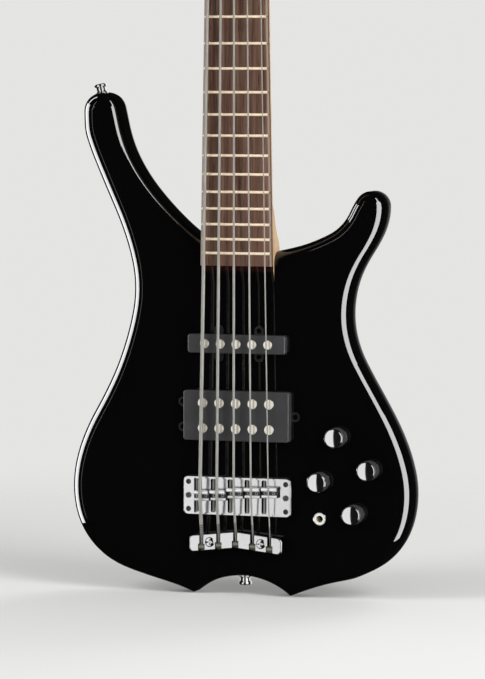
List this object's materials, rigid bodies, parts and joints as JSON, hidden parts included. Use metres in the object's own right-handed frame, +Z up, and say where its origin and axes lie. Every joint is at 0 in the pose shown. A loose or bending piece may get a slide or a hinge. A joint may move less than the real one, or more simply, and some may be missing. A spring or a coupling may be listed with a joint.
{
  "type": "electric bass guitar",
  "caption": "Solid-body electric bass guitar: two-horned black lacquered body, bolted maple neck, fretted fingerboard, bridge with sliding saddles, turning knobs and geared tuners.",
  "frame": {"origin": "centre of the mouth of the end strap button, on the middle plane of the body", "axes": "+X to the treble side, +Y to the back, +Z up along the neck"},
  "size_m": [0.3292, 0.0768, 1.1583],
  "materials": {
    "black_lacquer": "gloss black lacquer on wood",
    "maple": "satin maple",
    "dark_wood": "oiled dark reddish wood",
    "bronze": "polished bronze",
    "bone": "black composite",
    "steel": "plain steel",
    "pole_steel": "bright ground steel",
    "string_steel": "round-wound steel",
    "pickup_plastic": "satin dark grey plastic",
    "coil_wire": "enamelled copper wire",
    "chrome": "mirror chrome",
    "tin": "plain pressed metal",
    "black_plastic": "satin black plastic",
    "circuit": "green circuit board",
    "battery_case": "plain grey case"
  },
  "bodies": {
    "instrument": {"battery": "battery_case", "battery_cover": "black_plastic", "body": "black_lacquer", "bridge_frame": "chrome", "bridge_pickup_cover": "pickup_plastic", "bridge_pickup_poles": "pole_steel", "bridge_screws": "steel", "control_cover": "black_plastic", "control_nuts": "chrome", "cover_screws": "steel", "fingerboard": "dark_wood", "frets": "bronze", "headstock_screws": "steel", "intonation_screws": "steel", "neck": "maple", "neck_pickup_cover": "pickup_plastic", "neck_pickup_poles": "pole_steel", "neck_plate": "chrome", "neck_screws": "steel", "nut": "bone", "output_jack": "chrome", "pickup_coils": "coil_wire", "pickup_screws": "steel", "potentiometers": "tin", "preamp_board": "circuit", "strap_button_screws": "steel", "strap_buttons": "chrome", "string_a": "string_steel", "string_b": "string_steel", "string_d": "string_steel", "string_e": "string_steel", "string_g": "string_steel", "tailpiece": "chrome", "tailpiece_screws": "steel", "truss_rod": "steel", "truss_rod_cover": "black_plastic", "truss_rod_nut": "steel", "tuner_bushings": "chrome", "tuner_housings": "chrome"},
    "volume_knob_body": {"volume_knob": "chrome"},
    "balance_knob_body": {"balance_knob": "chrome"},
    "treble_knob_body": {"treble_knob": "chrome"},
    "bass_knob_body": {"bass_knob": "chrome"},
    "key_b": {"tuner_key_b": "chrome"},
    "post_b": {"tuner_post_b": "chrome"},
    "key_e": {"tuner_key_e": "chrome"},
    "post_e": {"tuner_post_e": "chrome"},
    "key_a": {"tuner_key_a": "chrome"},
    "post_a": {"tuner_post_a": "chrome"},
    "key_d": {"tuner_key_d": "chrome"},
    "post_d": {"tuner_post_d": "chrome"},
    "key_g": {"tuner_key_g": "chrome"},
    "post_g": {"tuner_post_g": "chrome"},
    "saddle_body_b": {"saddle_b": "chrome"},
    "saddle_body_e": {"saddle_e": "chrome"},
    "saddle_body_a": {"saddle_a": "chrome"},
    "saddle_body_d": {"saddle_d": "chrome"},
    "saddle_body_g": {"saddle_g": "chrome"}
  },
  "joints": [
    {"name": "volume_turn", "type": "hinge", "parent": "instrument", "child": "volume_knob_body", "pos_m": [0.0949, -0.02, 0.1416], "axis": [0, -1, 0], "range_deg": [-150, 150]},
    {"name": "balance_turn", "type": "hinge", "parent": "instrument", "child": "balance_knob_body", "pos_m": [0.1257, -0.02, 0.1124], "axis": [0, -1, 0], "range_deg": [-150, 150]},
    {"name": "treble_turn", "type": "hinge", "parent": "instrument", "child": "treble_knob_body", "pos_m": [0.0786, -0.02, 0.1004], "axis": [0, -1, 0], "range_deg": [-150, 150]},
    {"name": "bass_turn", "type": "hinge", "parent": "instrument", "child": "bass_knob_body", "pos_m": [0.1114, -0.02, 0.0715], "axis": [0, -1, 0], "range_deg": [-150, 150]},
    {"name": "key_turn_b", "type": "hinge", "parent": "instrument", "child": "key_b", "pos_m": [-0.06, 0.01197, 1.01501], "axis": [-1, 0, 0], "continuous": true},
    {"name": "post_turn_b", "type": "hinge", "parent": "instrument", "child": "post_b", "pos_m": [-0.03, -0.0126, 1.01001], "axis": [0, -0.9781, 0.2079], "continuous": true},
    {"name": "key_turn_e", "type": "hinge", "parent": "instrument", "child": "key_e", "pos_m": [-0.0575, 0.02195, 1.06196], "axis": [-1, 0, 0], "continuous": true},
    {"name": "post_turn_e", "type": "hinge", "parent": "instrument", "child": "post_e", "pos_m": [-0.0275, -0.00263, 1.05696], "axis": [0, -0.9781, 0.2079], "continuous": true},
    {"name": "key_turn_a", "type": "hinge", "parent": "instrument", "child": "key_a", "pos_m": [-0.055, 0.03193, 1.10891], "axis": [-1, 0, 0], "continuous": true},
    {"name": "post_turn_a", "type": "hinge", "parent": "instrument", "child": "post_a", "pos_m": [-0.025, 0.00736, 1.10391], "axis": [0, -0.9781, 0.2079], "continuous": true},
    {"name": "key_turn_d", "type": "hinge", "parent": "instrument", "child": "key_d", "pos_m": [0.056, 0.02569, 1.07957], "axis": [1, 0, 0], "continuous": true},
    {"name": "post_turn_d", "type": "hinge", "parent": "instrument", "child": "post_d", "pos_m": [0.026, 0.00112, 1.07456], "axis": [0, -0.9781, 0.2079], "continuous": true},
    {"name": "key_turn_g", "type": "hinge", "parent": "instrument", "child": "key_g", "pos_m": [0.0595, 0.0153, 1.03066], "axis": [1, 0, 0], "continuous": true},
    {"name": "post_turn_g", "type": "hinge", "parent": "instrument", "child": "post_g", "pos_m": [0.0295, -0.00928, 1.02566], "axis": [0, -0.9781, 0.2079], "continuous": true},
    {"name": "saddle_slide_b", "type": "slide", "parent": "instrument", "child": "saddle_body_b", "axis": [0, 0, 1], "range_m": [-0.0025, 0.005]},
    {"name": "saddle_slide_e", "type": "slide", "parent": "instrument", "child": "saddle_body_e", "axis": [0, 0, 1], "range_m": [-0.0025, 0.005]},
    {"name": "saddle_slide_a", "type": "slide", "parent": "instrument", "child": "saddle_body_a", "axis": [0, 0, 1], "range_m": [-0.0025, 0.005]},
    {"name": "saddle_slide_d", "type": "slide", "parent": "instrument", "child": "saddle_body_d", "axis": [0, 0, 1], "range_m": [-0.0025, 0.005]},
    {"name": "saddle_slide_g", "type": "slide", "parent": "instrument", "child": "saddle_body_g", "axis": [0, 0, 1], "range_m": [-0.0025, 0.005]}
  ],
  "couplings": [
    {"joint": "post_turn_b", "follows": "key_turn_b", "ratio": 0.05},
    {"joint": "post_turn_e", "follows": "key_turn_e", "ratio": 0.05},
    {"joint": "post_turn_a", "follows": "key_turn_a", "ratio": 0.05},
    {"joint": "post_turn_d", "follows": "key_turn_d", "ratio": 0.05},
    {"joint": "post_turn_g", "follows": "key_turn_g", "ratio": 0.05}
  ]
}
